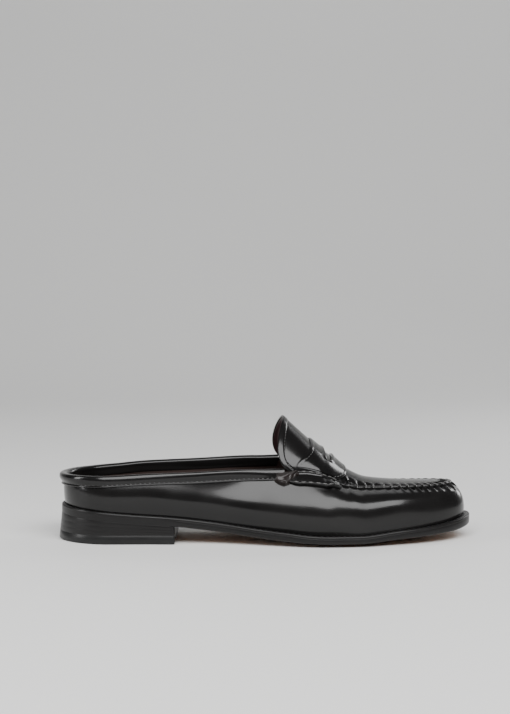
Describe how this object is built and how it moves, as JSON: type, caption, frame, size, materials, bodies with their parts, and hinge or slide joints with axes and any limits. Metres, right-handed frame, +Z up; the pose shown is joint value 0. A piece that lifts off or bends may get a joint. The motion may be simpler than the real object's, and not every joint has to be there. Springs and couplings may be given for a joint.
{
  "type": "loafer",
  "caption": "Low-back penny loafer for the right foot in polished black leather, with a slotted saddle strap, a raised apron seam and a low stacked heel.",
  "frame": {"origin": "middle of the footprint, on the floor", "axes": "+X points to the toe, +Y to the inner side of the foot, +Z up"},
  "size_m": [0.27, 0.0941, 0.0797],
  "materials": {
    "outsole_finish": "natural tan sole leather under black edges",
    "welt_finish": "black, satin edge",
    "insole_finish": "very dark brown sock",
    "heel_block_finish": "black, satin stacked leather",
    "top_lift_finish": "matt black",
    "upper_finish": "polished black outside, dark burgundy brown lining",
    "collar_binding_finish": "polished black",
    "saddle_strap_finish": "polished black",
    "strap_roll_outer_finish": "polished black",
    "strap_roll_inner_finish": "polished black",
    "apron_seam_finish": "polished black"
  },
  "bodies": {
    "root": {"outsole": "outsole_finish", "welt": "welt_finish", "insole": "insole_finish", "heel_block": "heel_block_finish", "top_lift": "top_lift_finish", "upper": "upper_finish", "collar_binding": "collar_binding_finish", "saddle_strap": "saddle_strap_finish", "strap_roll_outer": "strap_roll_outer_finish", "strap_roll_inner": "strap_roll_inner_finish", "apron_seam": "apron_seam_finish"}
  },
  "joints": []
}
